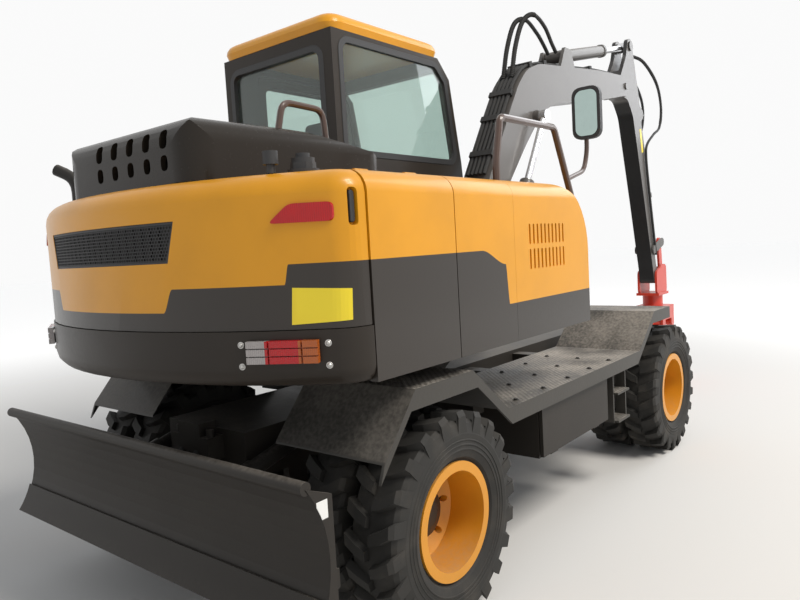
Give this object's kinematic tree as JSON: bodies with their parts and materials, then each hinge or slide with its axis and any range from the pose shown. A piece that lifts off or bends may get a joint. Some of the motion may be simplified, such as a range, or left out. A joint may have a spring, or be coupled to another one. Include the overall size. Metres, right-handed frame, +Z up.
{
  "type": "wheeled excavator",
  "caption": "Wheeled excavator with twin tyres, rear blade, offset cab, one-piece boom and timber grapple; it drives, steers, slews, digs and grips.",
  "frame": {"origin": "on the ground, at the middle of the machine's bounding box in X and Y", "axes": "+X forward, toward the boom's tip; +Y to the machine's left; +Z up"},
  "size_m": [5.9063, 2.06, 3.2306],
  "materials": {
    "frame_paint": "dark bronze-grey paint, satin",
    "axle_iron": "dark painted casting",
    "bare_steel": "ground steel",
    "tyre_rubber": "matt black rubber",
    "rim_paint": "orange-yellow gloss paint",
    "boom_paint": "grey paint, satin",
    "chrome_rod": "polished rod",
    "cover_paint": "yellow gloss paint",
    "hood_paint": "dark bronze paint, satin",
    "black_plastic": "matt black",
    "lamp_lens": "red and amber lens",
    "exhaust_steel": "heat-darkened steel",
    "cab_paint": "near-black paint, satin",
    "pane_glass": "pale green tint",
    "seat_cloth": "dark woven cloth",
    "hose_rubber": "black hose",
    "tool_paint": "red-orange paint"
  },
  "bodies": {
    "chassis": {"chassis_frame": "frame_paint", "side_platforms": "frame_paint", "side_boxes": "frame_paint", "steps": "frame_paint", "rear_axle": "axle_iron", "front_axle": "axle_iron"},
    "toolbox_door": {"toolbox_door": "frame_paint"},
    "knuckle_left": {"knuckle_left": "axle_iron"},
    "knuckle_right": {"knuckle_right": "axle_iron"},
    "tie_rod": {"tie_rod": "bare_steel"},
    "wheel_rear_left": {"tyres_rear_left": "tyre_rubber", "rims_rear_left": "rim_paint"},
    "wheel_rear_right": {"tyres_rear_right": "tyre_rubber", "rims_rear_right": "rim_paint"},
    "wheel_front_left": {"tyres_front_left": "tyre_rubber", "rims_front_left": "rim_paint"},
    "wheel_front_right": {"tyres_front_right": "tyre_rubber", "rims_front_right": "rim_paint"},
    "blade": {"blade": "frame_paint"},
    "blade_barrels": {"blade_barrels": "boom_paint"},
    "blade_rods": {"blade_rods": "chrome_rod"},
    "upper": {"upper_frame": "frame_paint", "counterweight": "frame_paint", "tail_cover": "cover_paint", "tail_grille": "black_plastic", "tail_lamps": "lamp_lens", "top_cover": "cover_paint", "right_tank_panel": "cover_paint", "right_front_housing": "cover_paint", "engine_block": "axle_iron", "exhaust_pipe": "exhaust_steel", "filler_caps": "black_plastic", "handrail": "hood_paint", "mirror": "black_plastic", "cab_frame": "cab_paint", "cab_roof": "cover_paint", "cab_glass": "pane_glass", "seat": "seat_cloth", "console": "black_plastic"},
    "right_door": {"right_door": "cover_paint"},
    "left_door": {"left_door": "cover_paint"},
    "hood": {"hood": "hood_paint", "hood_rail": "hood_paint"},
    "cab_door": {"cab_door": "cab_paint", "door_glass": "pane_glass"},
    "boom": {"boom": "boom_paint", "boom_pipes": "hose_rubber"},
    "lift_barrels": {"lift_barrels": "boom_paint"},
    "lift_rods": {"lift_rods": "chrome_rod"},
    "arm": {"arm": "boom_paint"},
    "crowd_barrel": {"crowd_barrel": "boom_paint"},
    "crowd_rod": {"crowd_rod": "chrome_rod"},
    "tool_barrel": {"tool_barrel": "boom_paint"},
    "tool_rod": {"tool_rod": "chrome_rod"},
    "rocker": {"rocker": "boom_paint"},
    "tool_link": {"tool_link": "tool_paint"},
    "tool_head": {"tool_head": "tool_paint"},
    "grapple_frame": {"grapple_frame": "tool_paint"},
    "jaw_front": {"jaw_front": "tool_paint"},
    "jaw_rear": {"jaw_rear": "tool_paint"}
  },
  "joints": [
    {"name": "wheel_rear_left_spin", "type": "hinge", "parent": "chassis", "child": "wheel_rear_left", "pos_m": [-2.11, 0, 0.43], "axis": [0, 1, 0], "continuous": true},
    {"name": "wheel_rear_right_spin", "type": "hinge", "parent": "chassis", "child": "wheel_rear_right", "pos_m": [-2.11, 0, 0.43], "axis": [0, 1, 0], "continuous": true},
    {"name": "knuckle_left_steer", "type": "hinge", "parent": "chassis", "child": "knuckle_left", "pos_m": [0.54, 0.43, 0.43], "axis": [0, 0, 1], "range_deg": [-28, 28]},
    {"name": "wheel_front_left_spin", "type": "hinge", "parent": "knuckle_left", "child": "wheel_front_left", "pos_m": [0.54, 0, 0.43], "axis": [0, 1, 0], "continuous": true},
    {"name": "knuckle_right_steer", "type": "hinge", "parent": "chassis", "child": "knuckle_right", "pos_m": [0.54, -0.43, 0.43], "axis": [0, 0, 1], "range_deg": [-28, 28]},
    {"name": "wheel_front_right_spin", "type": "hinge", "parent": "knuckle_right", "child": "wheel_front_right", "pos_m": [0.54, 0, 0.43], "axis": [0, 1, 0], "continuous": true},
    {"name": "tie_rod_slide", "type": "slide", "parent": "chassis", "child": "tie_rod", "axis": [0, 1, 0], "range_m": [-0.0835, 0.0835]},
    {"name": "slew", "type": "hinge", "parent": "chassis", "child": "upper", "pos_m": [-1.205, 0, 1], "axis": [0, 0, 1], "continuous": true},
    {"name": "blade_lift", "type": "hinge", "parent": "chassis", "child": "blade", "pos_m": [-2.24, 0, 0.3], "axis": [0, -1, 0], "range_deg": [-6, 28]},
    {"name": "blade_barrels_pivot", "type": "hinge", "parent": "chassis", "child": "blade_barrels", "pos_m": [-2.23, 0, 0.74], "axis": [0, -1, 0], "range_deg": [-4.32, 20.17]},
    {"name": "blade_rods_slide", "type": "slide", "parent": "blade_barrels", "child": "blade_rods", "axis": [-0.9674, 0, -0.2532], "range_m": [-0.0417, 0.1946]},
    {"name": "toolbox_door_hinge", "type": "hinge", "parent": "chassis", "child": "toolbox_door", "pos_m": [-0.92, -0.9475, 0.449], "axis": [1, 0, 0], "range_deg": [0, 90]},
    {"name": "right_door_hinge", "type": "hinge", "parent": "upper", "child": "right_door", "pos_m": [-2.3, -0.8975, 1.77], "axis": [-1, 0, 0], "range_deg": [0, 75]},
    {"name": "left_door_hinge", "type": "hinge", "parent": "upper", "child": "left_door", "pos_m": [-2.03, 0.8975, 1.77], "axis": [1, 0, 0], "range_deg": [0, 75]},
    {"name": "hood_hinge", "type": "hinge", "parent": "upper", "child": "hood", "pos_m": [-1.763, 0, 1.7725], "axis": [0, 1, 0], "range_deg": [0, 55]},
    {"name": "cab_door_hinge", "type": "hinge", "parent": "upper", "child": "cab_door", "pos_m": [-1.2875, 1, 1.3], "axis": [0, 0, 1], "range_deg": [0, 100]},
    {"name": "boom_lift", "type": "hinge", "parent": "upper", "child": "boom", "pos_m": [-0.81, -0.17, 1.33], "axis": [0, -1, 0], "range_deg": [-52, 24]},
    {"name": "lift_barrels_pivot", "type": "hinge", "parent": "upper", "child": "lift_barrels", "pos_m": [-0.61, -0.17, 1.195], "axis": [0, -1, 0], "range_deg": [-53.94, 24.89]},
    {"name": "lift_rods_slide", "type": "slide", "parent": "lift_barrels", "child": "lift_rods", "axis": [0.5249, 0, 0.8511], "range_m": [-0.19731, 0.09107]},
    {"name": "arm_swing", "type": "hinge", "parent": "boom", "child": "arm", "pos_m": [1.79, -0.17, 2.78], "axis": [0, -1, 0], "range_deg": [-30, 55]},
    {"name": "crowd_barrel_pivot", "type": "hinge", "parent": "boom", "child": "crowd_barrel", "pos_m": [0.645, -0.17, 2.847], "axis": [0, -1, 0], "range_deg": [-5.43, 9.95]},
    {"name": "crowd_rod_slide", "type": "slide", "parent": "crowd_barrel", "child": "crowd_rod", "axis": [0.9735, 0, 0.2285], "range_m": [-0.31607, 0.1724]},
    {"name": "tool_curl", "type": "hinge", "parent": "arm", "child": "tool_head", "pos_m": [2.53, -0.17, 1.06], "axis": [0, 1, 0], "range_deg": [-50, 60]},
    {"name": "rocker_pivot", "type": "hinge", "parent": "arm", "child": "rocker", "pos_m": [2.455, -0.17, 1.33], "axis": [0, 1, 0], "range_deg": [-44.02, 52.83]},
    {"name": "tool_link_pivot", "type": "hinge", "parent": "rocker", "child": "tool_link", "pos_m": [2.69, -0.17, 1.4], "axis": [0, 1, 0], "range_deg": [-52.23, 43.52]},
    {"name": "tool_barrel_pivot", "type": "hinge", "parent": "arm", "child": "tool_barrel", "pos_m": [2.3, -0.17, 2.6], "axis": [0, 1, 0], "range_deg": [-0.6, 0.72]},
    {"name": "tool_rod_slide", "type": "slide", "parent": "tool_barrel", "child": "tool_rod", "axis": [0.3091, 0, -0.951], "range_m": [-0.15279, 0.18335]},
    {"name": "grapple_turn", "type": "hinge", "parent": "tool_head", "child": "grapple_frame", "pos_m": [2.625, -0.17, 0.8], "axis": [0, 0, 1], "continuous": true},
    {"name": "jaw_front_open", "type": "hinge", "parent": "grapple_frame", "child": "jaw_front", "pos_m": [2.755, -0.17, 0.6], "axis": [0, -1, 0], "range_deg": [0, 55]},
    {"name": "jaw_rear_open", "type": "hinge", "parent": "grapple_frame", "child": "jaw_rear", "pos_m": [2.495, -0.17, 0.6], "axis": [0, -1, 0], "range_deg": [-55.05, 0.05]}
  ],
  "couplings": [
    {"joint": "knuckle_right_steer", "follows": "knuckle_left_steer", "ratio": 1},
    {"joint": "tie_rod_slide", "follows": "knuckle_left_steer", "m_per_rad": -0.17},
    {"joint": "blade_barrels_pivot", "follows": "blade_lift", "ratio": 0.72},
    {"joint": "blade_rods_slide", "follows": "blade_lift", "m_per_rad": 0.398},
    {"joint": "lift_barrels_pivot", "follows": "boom_lift", "ratio": 1.0367},
    {"joint": "lift_rods_slide", "follows": "boom_lift", "m_per_rad": 0.2173},
    {"joint": "crowd_barrel_pivot", "follows": "arm_swing", "ratio": 0.1809},
    {"joint": "crowd_rod_slide", "follows": "arm_swing", "m_per_rad": -0.3291},
    {"joint": "rocker_pivot", "follows": "tool_curl", "ratio": 0.88},
    {"joint": "tool_link_pivot", "follows": "tool_curl", "ratio": -0.87},
    {"joint": "tool_barrel_pivot", "follows": "tool_curl", "ratio": 0.012},
    {"joint": "tool_rod_slide", "follows": "tool_curl", "m_per_rad": 0.175},
    {"joint": "jaw_rear_open", "follows": "jaw_front_open", "ratio": -1}
  ]
}
